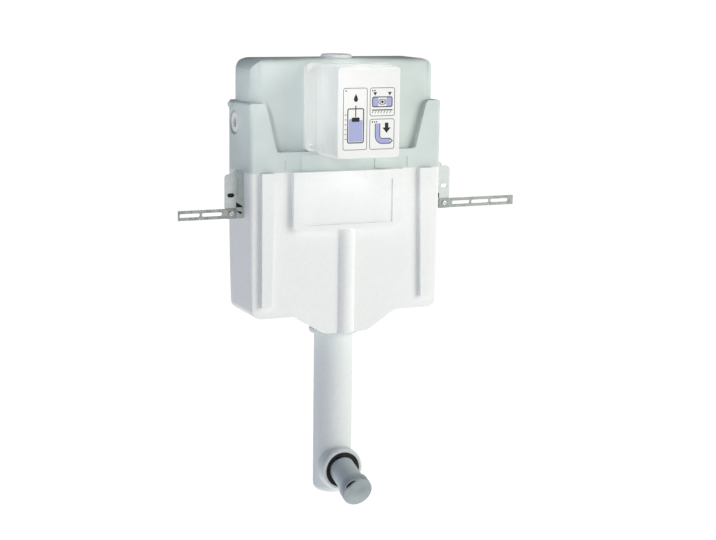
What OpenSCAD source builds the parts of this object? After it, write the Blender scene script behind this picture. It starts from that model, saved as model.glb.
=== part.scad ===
// Concealed flush cistern: tank, insulation jacket, service shroud, valves and insulated flush pipe.
// Millimetres, +Z up, front towards -Y, origin at the centre of the flush outlet's mouth.

/* [Tank] */
// Width of the tank across its shoulders
tank_w = 400; // [392:1:460]
// Depth of the tank from front to back
tank_d = 120; // [118:1:150]
// Height of the tank's top above the flush outlet's axis
tank_top = 812; // [812:1:860]
// Wall of the blown tank
wall = 3; // [2:0.25:4]
// Radius of the tank's upper corners, seen from the front
corner_r = 34; // [20:1:45]
// Radius of the shoulder's upright edges
edge_r = 9; // [7:0.5:14]
// Radius of the upper part's upright edges
upper_edge_r = 28; // [16:1:36]
// Radius of the top's front and back edges
rim_r = 13; // [8:0.5:14]
// Step at each side from the shoulder to the narrower upper part
side_step = 7; // [4:0.5:9]
// Setback of the upper front panel behind the shoulder's front face
panel_setback = 13; // [8:0.5:16]
// Height of the ledge's low middle above the jacket
ledge_low = 38; // [30:1:44]
// Height of the ledge's raised ends above the jacket
ledge_high = 131; // [110:1:150]
// Length of the ledge's low middle
ledge_w = 290; // [230:2:310]
// Width of each sloped stretch of the ledge
ledge_slope_w = 23; // [12:1:36]
// Reach of the hanging lug on each side
lug_reach = 7; // [4:0.5:10]

/* [Insulation jacket] */
// Height of the jacket's top edge above the flush outlet's axis
jacket_top = 600; // [580:1:612]
// Height of the jacket from its flat bottom to its top edge
jacket_h = 280; // [240:1:300]
// Thickness of the foam
jacket_t = 10; // [8:0.5:14]
// Height of the upright stretch of the sides, below the top edge
jacket_upright = 106; // [104:1:150]
// How much each side draws in towards the bottom
jacket_draft = 6; // [2:0.5:12]
// Radius of the jacket's lower corners
jacket_corner_r = 18; // [16:1:26]
// Clearance between the foam and the tank
jacket_gap = 0.5; // [0.3:0.1:1]
// Depth of the funnel below the flat bottom
funnel_drop = 38; // [24:1:50]
// Width of the funnel at the flat bottom
funnel_top_w = 210; // [180:2:250]
// Width of the funnel's own bottom
funnel_w = 92; // [90:1:110]
// Distance of the parting plane behind the tank's middle
parting_y = 10; // [0:1:24]
// Distance of each rib's outer edge from the middle
rib_x = 178; // [170:1:184]
// Width of a rib at its top
rib_top_w = 26; // [18:1:34]
// Width of a rib at its foot
rib_foot_w = 20; // [12:1:26]
// Length of a rib
rib_len = 257; // [200:1:262]
// Height of a rib over the front face
rib_proud = 9; // [4:0.5:14]
// Width of the raised pad
pad_w = 230; // [180:2:260]
// Height of the raised pad
pad_h = 112; // [80:1:140]
// Height of the pad over the front face
pad_proud = 11; // [5:0.5:16]
// Radius of the pad's lower corners
pad_r = 12; // [4:1:20]
// Width of the panel sunk in the pad
panel_w = 184; // [140:2:210]
// Height of the panel sunk in the pad
panel_h = 84; // [60:1:96]
// Depth of the sunk panel
panel_depth = 2; // [1:0.5:4]
// Radius of the half-round column below the pad
column_r = 20; // [14:1:26]
// Height of the column over the front face
column_proud = 10; // [5:0.5:13]

/* [Service opening] */
// Clear width of the service frame
open_w = 120; // [110:1:124]
// Clear height of the service frame
open_h = 156; // [140:1:160]
// Height of the service frame
frame_h = 167; // [166:1:168]
// Width of the ear on each side of the shroud
ear_w = 22; // [16:1:28]
// Radius of the frame's corners
frame_r = 9; // [5:0.5:14]
// Width of the shroud
shroud_w = 129; // [128:1:140]
// Height of the shroud
shroud_h = 168; // [164:1:180]
// Reach of the shroud in front of the tank
shroud_reach = 95; // [60:1:120]
// Drop of the shroud's middle below the middle of the opening
shroud_drop = 4; // [0:0.5:4]
// Wall of the shroud
shroud_wall = 2.5; // [1.5:0.25:3.5]
// Radius of the shroud's corners
shroud_r = 8; // [5:0.5:12]
// Number of trimming bands round the shroud
band_n = 9; // [4:1:10]
// Distance from one trimming band to the next
band_pitch = 9.5; // [6:0.5:10]
// Height of a trimming band over the shroud's side
band_proud = 1.2; // [0.6:0.1:2]
// Margin of bare front round the label
label_margin = 5; // [3:0.5:12]

/* [Water supply] */
// Height of the side inlet above the jacket
inlet_rise = 90; // [84:1:100]
// Distance of the side inlet behind the tank's middle
inlet_y = 27; // [22:0.5:28]
// Radius of the round recess for the inlet
recess_r = 24; // [22:0.5:27]
// Depth of the round recess
recess_depth = 6; // [5:0.5:9]
// Radius of the inlet's threaded bore
inlet_bore_r = 9.3; // [9:0.1:10]
// Radius of the inlet bush where it passes the wall
bush_r = 13.5; // [12.5:0.25:15]
// Radius of the filling hose
hose_r = 6.5; // [5:0.25:7]
// Bend radius of the filling hose
hose_bend = 54; // [50:1:58]
// Distance of the filling valve from the tank's side
fill_side = 88; // [82:1:92]
// Radius of the filling valve's riser
riser_r = 11; // [9:0.25:12]
// Width of the float
float_w = 96; // [90:1:100]
// Depth of the float
float_d = 48; // [40:1:54]
// Height of the float
float_h = 55; // [40:1:60]
// Arm of the float lever
float_arm = 36; // [33:0.5:38]

/* [Flush valve] */
// Radius of the outlet tail's bore
outlet_bore_r = 24; // [22:0.5:25]
// Radius of the outlet tail's thread
tail_r = 29.7; // [28.5:0.1:31]
// Radius of the overflow tube
overflow_r = 20; // [18:0.5:21]
// Height of the guide cage
cage_h = 126; // [90:1:150]
// Distance of the lever pivot behind the tank's middle
pivot_y = 40; // [38:0.5:44]
// Radius of the lever pivot pin
pivot_r = 3; // [2.5:0.1:4]
// Distance of the half-flush rod to the left of the middle
half_rod_x = 29; // [28:0.25:31]

/* [Flush pipe] */
// Distance of the outlet's mouth in front of the pipe's upright axis
outlet_reach = 55; // [52:0.5:70]
// Radius of the flush pipe
pipe_r = 22.5; // [20:0.5:23]
// Wall of the flush pipe
pipe_wall = 2.3; // [1.8:0.1:3]
// Bend radius of the pipe's elbow
elbow_r = 27; // [26:0.5:30]
// Radius of the socket's bore at the mouth
socket_r = 35.5; // [34:0.25:37]
// Radius of the pipe insulation
sleeve_r = 38.5; // [38:0.25:44]
// Depth of the insulation's foot below the outlet's axis
sleeve_foot = 54; // [46:1:70]
// Radius of the insulation's rounded foot
foot_r = 13; // [8:1:24]
// Radius of the insulation's ring round the mouth
mouth_ring_r = 43.5; // [43:0.5:50]
// Radius of the pipe's union collar
collar_r = 49; // [46:0.5:54]
// Inner radius of the mouth's lip seal
lip_r = 28.3; // [27.8:0.1:29]
// Radius of the protective plug's neck
plug_r = 26; // [24:0.25:26.5]
// Radius of the protective plug's flanged end
plug_end_r = 30.5; // [29:0.25:32]
// Length of the plug in front of the mouth
plug_len = 77; // [60:1:100]
// Depth of the thumb cut at the rim of the plug's end
plug_cut = 7; // [5:0.5:9]
// Droop of the plug in its seal, in degrees
plug_droop = 18; // [10:1:18]

/* [Fixing brackets] */
// Thickness of the bracket steel
steel = 2; // [1.5:0.25:3]
// Distance of the bracket flange in front of the tank's middle
flange_front = 26; // [20:1:34]
// Width of the bracket flange
flange_w = 38; // [34:1:46]
// Height of the bracket
bracket_h = 85; // [82:1:92]
// Length of the flange's fixing slot
slot_len = 14; // [10:0.5:17]
// Width of the flange's fixing slot
slot_w = 8; // [6:0.5:9]
// Reach of the left strap from the middle
strap_reach_left = 331; // [310:1:400]
// Reach of the right strap from the middle
strap_reach_right = 384; // [310:1:400]
// Height of a strap
strap_h = 20; // [16:1:24]
// Thickness of a strap
strap_t = 1.5; // [1:0.25:2.5]
// Distance from one strap slot to the next
strap_pitch = 44; // [30:1:50]

/* [Fits] */
// Gap between faces that stay apart
gap = 0.3; // [0.2:0.05:0.5]
// Radial clearance of a turning or sliding pin
pin_fit = 0.05; // [0.03:0.01:0.1]

/* [Hidden] */
$fn = 64;
half_w = tank_w / 2;
half_d = tank_d / 2;
front_y = -half_d;
past = 1;
arc_steps = 5;

// Jacket and tub heights
jacket_bottom = jacket_top - jacket_h;
funnel_z = jacket_bottom - funnel_drop;
funnel_k = tan(atan2(funnel_drop, (funnel_top_w - funnel_w) / 2) / 2);
tub_inset = jacket_t + jacket_gap;
tub_floor = funnel_z + tub_inset;
floor_in = tub_floor + wall;
tub_plan_r = 14;

// Upper tank
upper_half = half_w - side_step;
panel_y = front_y + panel_setback;
panel_in = panel_y + wall;
back_in = half_d - wall;
ledge_low_z = jacket_top + ledge_low;
ledge_high_z = jacket_top + ledge_high;
ledge_k = tan(atan2(ledge_high - ledge_low, ledge_slope_w) / 2);
inlet_z = jacket_top + inlet_rise;
recess_floor = half_w - recess_depth;
cup_in = recess_floor - wall;

// Service frame and shroud
frame_t = panel_setback + gap;
frame_front = panel_y - frame_t;
frame_w = shroud_w + 2 * ear_w;
serv_z = ledge_low_z + gap + frame_h / 2;
rim_wall = 2;
rim_in = panel_in + 3;
frame_skin = 4;
shroud_z = serv_z - shroud_drop;
shroud_front = front_y - shroud_reach;
shroud_back = frame_front - gap;
spigot_depth = 10;
spigot_gap = 0.5;
screw_x = frame_w / 2 - ear_w / 2;
screw_z = frame_h / 2 - 11;
label_t = 0.4;

// Outlet stack
seal_t = 3;
seat_flange_z = floor_in + seal_t;
seat_flange_r = 38.4;
seat_flange_t = 5;
seat_rim_z = seat_flange_z + seat_flange_t + 5.5;
seat_rim_t = 2.4;
tail_end = funnel_z - 16;
collar_top = funnel_z - gap;
collar_t = 9.5;
nut_foot = tail_end - 10;
thread_fit = 0.15;
locknut_r = 41;

// Flush valve
washer_t = 3;
washer_r = outlet_bore_r + seat_rim_t + 1;
tube_foot = seat_rim_z + washer_t;
overflow_top = serv_z - open_h / 2 - 4;
cage_z = seat_flange_z + seat_flange_t;
cage_top = cage_z + cage_h;
cage_r = seat_flange_r;
stem_r = 4;
fork_pad_r = 3.5;
lift_head_z = overflow_top + 32;
fork_z = lift_head_z - gap - fork_pad_r;
pivot_z = fork_z + 22;
hub_r = 6;
push_y = panel_in + 6;
push_z = pivot_z + 40;
bridge_left = -(half_rod_x + 13);
bridge_right = 28;
bridge_t = 4;
hub_split = -10;
plate_split = hub_split + 11;
plate_gap = 2;

// Filling valve
hose_rise = 95;
hose_z = inlet_z + hose_rise;
hose_wall = 2;
hose_nut_h = 10;
hose_nut_r = 11;
valve_in = 69;
valve_x = -(half_w - valve_in);
stop_r = 15;
outlet_up = 22;
head_z = inlet_z + 2;
head_h = 20;
head_r = 15;
ring_t = 8;
rail_h = 62;
back_plate_w = 40;
back_plate_h = 58;
fill_x = half_w - fill_side;
float_clear = 1;
float_foot = jacket_top + wall + float_clear;
riser_foot = float_foot - 56;
stop_collar_t = 4;
lever_x = fill_x + 24;
lever_z = head_z + 12;
rod_x = lever_x + float_arm;
rod_r = 2.5;
float_x = rod_x + 8 - float_w / 2;
lever_t = 5;

// Flush pipe
seal_back = -outlet_reach + 21;
sleeve_top = funnel_z - gap - collar_t - gap;
sleeve_bore = pipe_r + 1;
plug_rest = -(lip_r - gap - plug_r / cos(plug_droop));
plug_in = 6;
plug_end_t = 26;
plug_wall = 2;
plug_rim_r = 3;
plug_cut_turn = 42;

// Brackets
bracket_top = jacket_top - 3;
bracket_foot = bracket_top - bracket_h;
flange_y = -flange_front;
slot_x = half_w + flange_w - 12;
slot_z = bracket_top - 40;
strap_z = bracket_foot + 10.5;
strap_root = 16;
strap_bar = 4;
strap_rail = 6.5;
strap_screw_r = 3;
strap_head_r = 5;
strap_head_h = 1.6;
leg_d = 42;
leg_screw_y = flange_y + 26;
leg_screw_in = 18;
leg_screw_z = [bracket_top - leg_screw_in, bracket_foot + leg_screw_in];
leg_screw_r = 2.4;
boss_r = 9;
boss_proud = 0.2;
fold_x = half_w + 11.5;
fold_w = 1.2;
fold_depth = 1;

// Outline helpers

function unit(v) = v / norm(v);

// Points of the arc that rounds corner b between its neighbours a and c
function corner(a, b, c, r) =
    r <= 0 ? [b] :
    let (
        u = unit(a - b),
        v = unit(c - b),
        half = acos(u * v) / 2,
        first = b + u * r / tan(half),
        last = b + v * r / tan(half),
        centre = b + unit(u + v) * r / sin(half),
        start = atan2(first.y - centre.y, first.x - centre.x),
        stop = atan2(last.y - centre.y, last.x - centre.x),
        turn = stop - start,
        sweep = turn > 180 ? turn - 360 : turn < -180 ? turn + 360 : turn
    )
    [for (i = [0:arc_steps])
        let (angle = start + sweep * i / arc_steps)
        centre + r * [cos(angle), sin(angle)]];

// Closed outline through corners given as [x, y, radius]
function rounded(corners) =
    let (n = len(corners))
    [for (i = [0:n - 1])
        let (a = corners[(i + n - 1) % n], b = corners[i], c = corners[(i + 1) % n])
        each corner([a.x, a.y], [b.x, b.y], [c.x, c.y], b[2])];

// A right half outline, from its top to its foot, closed by its mirror image
function both_sides(right) =
    concat(right, [for (i = [len(right) - 1:-1:0]) [-right[i].x, right[i].y, right[i][2]]]);

module rounded_rect(w, h, r) {
    square([w - 2 * r, h], center = true);
    square([w, h - 2 * r], center = true);
    for (x = [-1, 1], y = [-1, 1])
        translate([x * (w / 2 - r), y * (h / 2 - r)])
            circle(r);
}

module obround(length, w) {
    square([length - w, w], center = true);
    for (x = [-1, 1])
        translate([x * (length - w) / 2, 0])
            circle(w / 2);
}

// Extrudes an outline drawn in X and Z from y0 back to y1
module along_y(y0, y1) {
    translate([0, y1, 0])
        rotate([90, 0, 0])
            linear_extrude(y1 - y0)
                children();
}

// Extrudes an outline drawn in Y and Z from x0 to x1
module along_x(x0, x1) {
    translate([x0, 0, 0])
        rotate([90, 0, 90])
            linear_extrude(x1 - x0)
                children();
}

module rod_x_axis(x0, x1, r) {
    translate([x0, 0, 0])
        rotate([0, 90, 0])
            cylinder(h = x1 - x0, r = r);
}

module rod_y_axis(y0, y1, r) {
    translate([0, y1, 0])
        rotate([90, 0, 0])
            cylinder(h = y1 - y0, r = r);
}

module ring(z0, z1, r_in, r_out) {
    translate([0, 0, z0])
        difference() {
            cylinder(h = z1 - z0, r = r_out);
            translate([0, 0, -past])
                cylinder(h = z1 - z0 + 2 * past, r = r_in);
        }
}

// Moves a piece from the tank's middle plane to the shared frame
module placed() {
    translate([0, outlet_reach, 0])
        children();
}

// Tank forms, drawn in from the outer skin by t

module jacket_outline(t, top) {
    polygon(rounded(both_sides([
        [half_w - t, top, 0],
        [half_w - t, jacket_top - jacket_upright, 0],
        [half_w - jacket_draft - t, jacket_bottom + t, max(jacket_corner_r - t, 2)],
        [funnel_top_w / 2 - funnel_k * t, jacket_bottom + t, 30 + t],
        [funnel_w / 2 - funnel_k * t, funnel_z + t, max(24 - t, 2)]
    ])));
}

module tub_form(t, plan_r, top) {
    intersection() {
        along_y(front_y + t, half_d - t)
            jacket_outline(t, top);
        translate([0, 0, funnel_z])
            linear_extrude(top - funnel_z + past)
                rounded_rect(tank_w - 2 * t, tank_d - 2 * t, plan_r);
    }
}

module shoulder_form(t) {
    intersection() {
        along_y(front_y + t, half_d - t)
            polygon(rounded(both_sides([
                [ledge_w / 2 + ledge_k * t, ledge_low_z - t, 8 + t],
                [ledge_w / 2 + ledge_slope_w + ledge_k * t, ledge_high_z - t, max(9 - t, 2)],
                [half_w - t, ledge_high_z - t, max(6 - t, 1)],
                [half_w - t, jacket_top + t, 0]
            ])));
        translate([0, 0, jacket_top])
            linear_extrude(ledge_high)
                rounded_rect(tank_w - 2 * t, tank_d - 2 * t, edge_r - t);
    }
}

module upper_form(t) {
    depth = half_d - panel_y - 2 * t;
    height = tank_top - jacket_top - 2 * t;
    translate([0, (half_d + panel_y) / 2, jacket_top + t])
        intersection() {
            linear_extrude(height)
                rounded_rect(2 * (upper_half - t), depth, upper_edge_r - t);
            along_y(-depth / 2 - past, depth / 2 + past)
                translate([0, height / 2])
                    rounded_rect(2 * (upper_half - t), height, corner_r - t);
            along_x(-half_w, half_w)
                translate([0, height / 2])
                    rounded_rect(depth, height, rim_r - t);
        }
}

module tank_form(t) {
    tub_form(tub_inset + t, tub_plan_r - t, jacket_top + wall + past);
    shoulder_form(t);
    upper_form(t);
}

// Places children at the left inlet with +X pointing out of the tank's right side
module at_inlet(side) {
    translate([0, inlet_y, inlet_z])
        mirror([side < 0 ? 1 : 0, 0, 0])
            children();
}

module at_leg_screws() {
    for (side = [0, 1], z = leg_screw_z)
        mirror([side, 0, 0])
            translate([0, leg_screw_y, z])
                children();
}

// Tank and jacket

module lug() {
    translate([half_w - past, half_d - 32, ledge_high_z - 12])
        cube([lug_reach + past, 14, 9]);
}

module valve_rails() {
    rail = 3;
    lip = 6;
    for (side = [-1, 1])
        translate([fill_x, 0, 0])
            mirror([side < 0 ? 1 : 0, 0, 0])
                along_y(back_in - lip, back_in + past)
                    translate([back_plate_w / 2 + gap, head_z - 22])
                        square([rail, rail_h]);
}

module tank_shell() {
    color("#c6cfcc")
        placed()
            difference() {
                union() {
                    difference() {
                        tank_form(0);
                        tank_form(wall);
                    }
                    for (side = [-1, 1])
                        at_inlet(side)
                            rod_x_axis(cup_in, half_w - wall / 2, recess_r + wall);
                    for (side = [0, 1])
                        mirror([side, 0, 0])
                            lug();
                    valve_rails();
                    at_leg_screws()
                        rod_x_axis(half_w - tub_inset - past, half_w - gap, 7);
                }
                for (side = [-1, 1])
                    at_inlet(side) {
                        rod_x_axis(recess_floor, half_w + past, recess_r);
                        rod_x_axis(cup_in - past, half_w, bush_r + gap);
                    }
                at_leg_screws()
                    rod_x_axis(half_w - jacket_t, half_w + past, leg_screw_r + pin_fit);
                translate([0, 0, serv_z])
                    along_y(panel_y - past, panel_in + past)
                        rounded_rect(open_w + 2 * (rim_wall + gap), open_h + 2 * (rim_wall + gap), 6);
                translate([0, 0, serv_z])
                    for (x = [-1, 1], z = [-1, 1])
                        translate([x * screw_x, 0, z * screw_z])
                            rod_y_axis(panel_y - past, panel_in + past, 2 + pin_fit);
                translate([0, 0, tub_floor - past])
                    cylinder(h = wall + 2 * past, r = tail_r + gap);
                translate([0, 0, tank_top - wall - past])
                    cylinder(h = wall + 2 * past, r = 14 + gap);
            }
}

module jacket_rib() {
    along_y(front_y - rib_proud, front_y + past)
        polygon([
            [rib_x, jacket_top],
            [rib_x, jacket_top - rib_len],
            [rib_x - rib_foot_w, jacket_top - rib_len],
            [rib_x - rib_top_w, jacket_top]
        ]);
}

module jacket_pad() {
    foot = jacket_top - pad_h;
    difference() {
        along_y(front_y - pad_proud, front_y + past)
            polygon(rounded(both_sides([[pad_w / 2, jacket_top, 0], [pad_w / 2, foot, pad_r]])));
        translate([0, 0, foot + (pad_h - panel_h) / 3 + panel_h / 2])
            along_y(front_y - pad_proud - past, front_y - pad_proud + panel_depth)
                square([panel_w, panel_h], center = true);
    }
}

module jacket() {
    difference() {
        union() {
            tub_form(0, edge_r, jacket_top);
            for (side = [0, 1])
                mirror([side, 0, 0])
                    jacket_rib();
            jacket_pad();
            translate([0, front_y + column_r - column_proud, funnel_z])
                cylinder(h = jacket_top - pad_h + pad_r - funnel_z, r = column_r);
        }
        tub_form(jacket_t, tub_plan_r, jacket_top + past);
        translate([0, 0, funnel_z - past])
            cylinder(h = jacket_t + 2 * past, r = locknut_r + 2);
        at_leg_screws()
            rod_x_axis(half_w - jacket_t - past, half_w + past, 7 + gap);
    }
}

module jacket_half(y0, y1) {
    placed()
        intersection() {
            jacket();
            translate([-tank_w, y0, 0])
                cube([2 * tank_w, y1 - y0, tank_top]);
        }
}

module insulation_front() {
    color("#eef2f2")
        jacket_half(-tank_d, parting_y);
}

module insulation_rear() {
    color("#e6eaec")
        jacket_half(parting_y, tank_d);
}

// Inlets and blanking pieces

module top_inlet_cap() {
    color("#c3cac7")
        placed()
            translate([0, 0, tank_top]) {
                rotate_extrude()
                    polygon([[0, 0], [30, 0], [30, 4], [27, 7], [0, 7]]);
                translate([0, 0, -wall - 8])
                    cylinder(h = wall + 8 + past, r = 14);
            }
}

module top_inlet_nut() {
    color("#d8dcda")
        placed()
            ring(tank_top - wall - 7, tank_top - wall, 14 + pin_fit, 19);
}

module wall_fitting(bore_r) {
    difference() {
        union() {
            rod_x_axis(recess_floor, recess_floor + 4, 19);
            rod_x_axis(cup_in - 22, recess_floor + past, bush_r);
        }
        rod_x_axis(recess_floor - 12, recess_floor + 4 + past, bore_r);
        rod_x_axis(cup_in - 22 - past, recess_floor, bore_r / 2);
    }
}

module wall_nut() {
    difference() {
        translate([cup_in - 8, 0, 0])
            rotate([0, 90, 0])
                cylinder(h = 8, r = 20, $fn = 6);
        rod_x_axis(cup_in - 8 - past, cup_in + past, bush_r + pin_fit);
    }
}

module side_blank_plug() {
    color("#c3cac7")
        placed()
            at_inlet(1) {
                rod_x_axis(recess_floor, recess_floor + 4, 19);
                rod_x_axis(cup_in - 12, recess_floor + past, bush_r);
            }
}

module side_plug_nut() {
    color("#d8dcda")
        placed()
            at_inlet(1)
                wall_nut();
}

module inlet_bush() {
    color("#b99a58")
        placed()
            at_inlet(-1)
                wall_fitting(inlet_bore_r);
}

module inlet_nut() {
    color("#b99a58")
        placed()
            at_inlet(-1)
                wall_nut();
}

// Service frame and shroud

module service_frame() {
    color("#f2f4f3")
        placed()
            translate([0, 0, serv_z])
                difference() {
                    union() {
                        difference() {
                            along_y(frame_front, panel_y)
                                rounded_rect(frame_w, frame_h, frame_r);
                            along_y(frame_front + frame_skin, panel_y + past)
                                rounded_rect(
                                    frame_w - 2 * shroud_wall, frame_h - 2 * shroud_wall,
                                    frame_r - shroud_wall
                                );
                        }
                        along_y(frame_front + past, rim_in)
                            rounded_rect(open_w + 2 * rim_wall, open_h + 2 * rim_wall, 5);
                        for (x = [-1, 1], z = [-1, 1])
                            translate([x * screw_x, 0, z * screw_z])
                                rod_y_axis(frame_front + past, panel_y, 5);
                    }
                    along_y(frame_front - past, rim_in + past)
                        rounded_rect(open_w, open_h, 3);
                    for (x = [-1, 1], z = [-1, 1])
                        translate([x * screw_x, 0, z * screw_z])
                            rod_y_axis(frame_front - past, panel_y + past, 2 + pin_fit);
                }
}

module frame_screws() {
    color("#c9cdd0")
        placed()
            translate([0, 0, serv_z])
                for (x = [-1, 1], z = [-1, 1])
                    translate([x * screw_x, 0, z * screw_z]) {
                        rod_y_axis(frame_front - 2.4, frame_front, 4.2);
                        rod_y_axis(frame_front - past, panel_in + 6, 2);
                    }
}

module shroud_box(inset, y0, y1, r) {
    depth = y1 - y0;
    translate([0, 0, shroud_z])
        intersection() {
            along_y(y0, y1)
                rounded_rect(shroud_w - 2 * inset, shroud_h - 2 * inset, r);
            translate([0, y0 + depth, -shroud_h])
                linear_extrude(2 * shroud_h)
                    rounded_rect(shroud_w - 2 * inset, 2 * depth, r / 2);
            translate([0, y0 + depth, 0])
                along_x(-shroud_w, shroud_w)
                    rounded_rect(2 * depth, shroud_h - 2 * inset, r / 2 - 0.2);
        }
}

module shroud_bands() {
    first = shroud_front + shroud_r;
    for (i = [0:band_n - 1])
        translate([0, 0, shroud_z])
            along_y(first + i * band_pitch, first + i * band_pitch + band_pitch / 2)
                rounded_rect(shroud_w + 2 * band_proud, shroud_h + 2 * band_proud, shroud_r + band_proud);
}

module service_shroud() {
    spigot_w = open_w - 2 * spigot_gap;
    spigot_h = open_h - 2 * spigot_gap;
    color("#f4f5f3")
        placed()
            difference() {
                union() {
                    shroud_box(0, shroud_front, shroud_back, shroud_r);
                    shroud_bands();
                    translate([0, 0, serv_z])
                        along_y(shroud_back - past, shroud_back + spigot_depth)
                            rounded_rect(spigot_w, spigot_h, 2.5);
                }
                shroud_box(
                    shroud_wall, shroud_front + shroud_wall,
                    shroud_back - shroud_wall, shroud_r - shroud_wall
                );
                translate([0, 0, serv_z])
                    along_y(shroud_back - 2 * shroud_wall, shroud_back + spigot_depth + past)
                        rounded_rect(spigot_w - 2 * shroud_wall, spigot_h - 2 * shroud_wall, 1.5);
            }
}

module instruction_label() {
    color("#fbfbf8")
        placed()
            translate([0, 0, shroud_z])
                along_y(shroud_front - label_t, shroud_front)
                    rounded_rect(
                        shroud_w - 2 * label_margin, shroud_h - 2 * label_margin,
                        shroud_r - label_margin / 2
                    );
}

// Water supply

module stop_valve_body() {
    color("#c2a666")
        placed()
            translate([0, inlet_y, inlet_z])
                difference() {
                    union() {
                        rod_x_axis(-cup_in + 8 + gap, valve_x + 13, stop_r);
                        translate([valve_x, 0, 0])
                            cylinder(h = outlet_up, r = 10);
                        translate([valve_x - 19, 0, 0])
                            rod_y_axis(-27, 0, 9);
                    }
                    rod_x_axis(-cup_in - past, -cup_in + 22 + gap, bush_r + pin_fit);
                    rod_x_axis(-cup_in, valve_x, 5.5);
                    translate([valve_x, 0, 0])
                        cylinder(h = outlet_up + past, r = hose_r - hose_wall);
                    translate([valve_x - 19, 0, 0])
                        rod_y_axis(-27 - past, -8, 4 + pin_fit);
                }
}

module stop_valve_knob() {
    color("#3f6f9e")
        placed()
            translate([valve_x - 19, inlet_y, inlet_z])
                union() {
                    rod_y_axis(-27 - gap - 10, -27 - gap, 11);
                    rod_y_axis(-30, -10, 4);
                    for (turn = [0:60:300])
                        rotate([0, turn, 0])
                            translate([9.5, 0, 0])
                                rod_y_axis(-27 - gap - 10, -27 - gap, 3.6);
                }
}

module hose_path(r) {
    start = [valve_x, inlet_y, inlet_z + outlet_up];
    over = hose_z;
    translate(start)
        cylinder(h = over - hose_bend - start.z, r = r);
    translate([valve_x + hose_bend, inlet_y, over - hose_bend])
        rotate([90, 0, 0])
            rotate([0, 0, 90])
                rotate_extrude(angle = 90)
                    translate([hose_bend, 0])
                        circle(r);
    translate([0, inlet_y, over])
        rod_x_axis(valve_x + hose_bend, fill_x - hose_bend, r);
    translate([fill_x - hose_bend, inlet_y, over - hose_bend])
        rotate([90, 0, 0])
            rotate_extrude(angle = 90)
                translate([hose_bend, 0])
                    circle(r);
    translate([fill_x, inlet_y, head_z + head_h])
        cylinder(h = over - hose_bend - head_z - head_h, r = r);
}

module fill_hose() {
    color("#aab0b4")
        placed()
            difference() {
                hose_path(hose_r);
                hose_path(hose_r - hose_wall);
                for (end = [[valve_x, inlet_z + outlet_up], [fill_x, head_z + head_h]])
                    translate([end.x, inlet_y, end.y - past])
                        cylinder(h = 2 * past, r = hose_r - hose_wall);
            }
}

module hose_nuts() {
    color("#d9dcda")
        placed()
            for (end = [[valve_x, inlet_z + outlet_up], [fill_x, head_z + head_h]])
                translate([end.x, inlet_y, end.y])
                    difference() {
                        cylinder(h = hose_nut_h, r = hose_nut_r, $fn = 6);
                        translate([0, 0, -past])
                            cylinder(h = hose_nut_h + 2 * past, r = hose_r + pin_fit);
                    }
}

module fill_valve_bracket() {
    color("#e2e5e4")
        placed()
            difference() {
                union() {
                    translate([fill_x, 0, head_z + 8])
                        along_y(back_in - 3, back_in)
                            square([back_plate_w, back_plate_h], center = true);
                    translate([fill_x - 6, inlet_y, head_z - ring_t])
                        cube([12, back_in - inlet_y - past, ring_t]);
                    translate([fill_x, inlet_y, head_z - ring_t])
                        cylinder(h = ring_t, r = riser_r + 5);
                }
                translate([fill_x, inlet_y, head_z - ring_t - past])
                    cylinder(h = ring_t + 2 * past, r = riser_r + pin_fit);
            }
}

module fill_valve_body() {
    color("#eceeed")
        placed()
            translate([fill_x, inlet_y, 0])
                difference() {
                    union() {
                        translate([0, 0, riser_foot])
                            cylinder(h = head_z - riser_foot + past, r = riser_r);
                        translate([0, 0, float_foot - stop_collar_t])
                            cylinder(h = stop_collar_t, r = riser_r + stop_collar_t);
                        translate([0, 0, head_z])
                            cylinder(h = head_h, r = head_r);
                        for (side = [-1, 1])
                            translate([0, side * 7.2, 0])
                                along_y(-1.8, 1.8)
                                    polygon(rounded([
                                        [8, head_z + 2, 0], [lever_x - fill_x + 6, head_z + 5, 3],
                                        [lever_x - fill_x + 6, head_z + 18, 5], [8, head_z + 18, 0]
                                    ]));
                    }
                    translate([0, 0, riser_foot - past])
                        cylinder(h = 40, r = riser_r - 2.6);
                    translate([0, 0, riser_foot])
                        cylinder(h = head_z + head_h - riser_foot + past, r = hose_r - hose_wall);
                    translate([lever_x - fill_x, 0, lever_z])
                        rod_y_axis(-12, 12, 2 + pin_fit);
                }
}

module silencer_tube() {
    color("#dfe3e2")
        placed()
            translate([fill_x, inlet_y, 0])
                ring(jacket_bottom + 90, riser_foot + 30, riser_r - 4.6, riser_r - 2.6 - pin_fit);
}

module valve_lever() {
    fork = 7;
    color("#4d82ad")
        placed()
            translate([lever_x, inlet_y, lever_z])
                difference() {
                    union() {
                        rod_y_axis(-5.1, 5.1, 5);
                        translate([0, -5.1, -lever_t / 2])
                            cube([float_arm + 6, 10.2, lever_t]);
                    }
                    rod_y_axis(-6, 6, 2 + pin_fit);
                    translate([float_arm - 6, -fork / 2, -lever_t])
                        cube([20, fork, 2 * lever_t]);
                }
}

module valve_lever_pin() {
    color("#b8bcc0")
        placed()
            translate([lever_x, inlet_y, lever_z])
                rod_y_axis(-10, 10, 2);
}

module float() {
    color("#efe9cf")
        placed()
            difference() {
                translate([float_x, inlet_y, float_foot])
                    linear_extrude(float_h)
                        rounded_rect(float_w, float_d, 9);
                translate([fill_x, inlet_y, float_foot - past])
                    cylinder(h = float_h + 2 * past, r = riser_r + gap);
                translate([rod_x, inlet_y, float_foot + float_h - 16])
                    cylinder(h = 16 + past, r = rod_r);
            }
}

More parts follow.
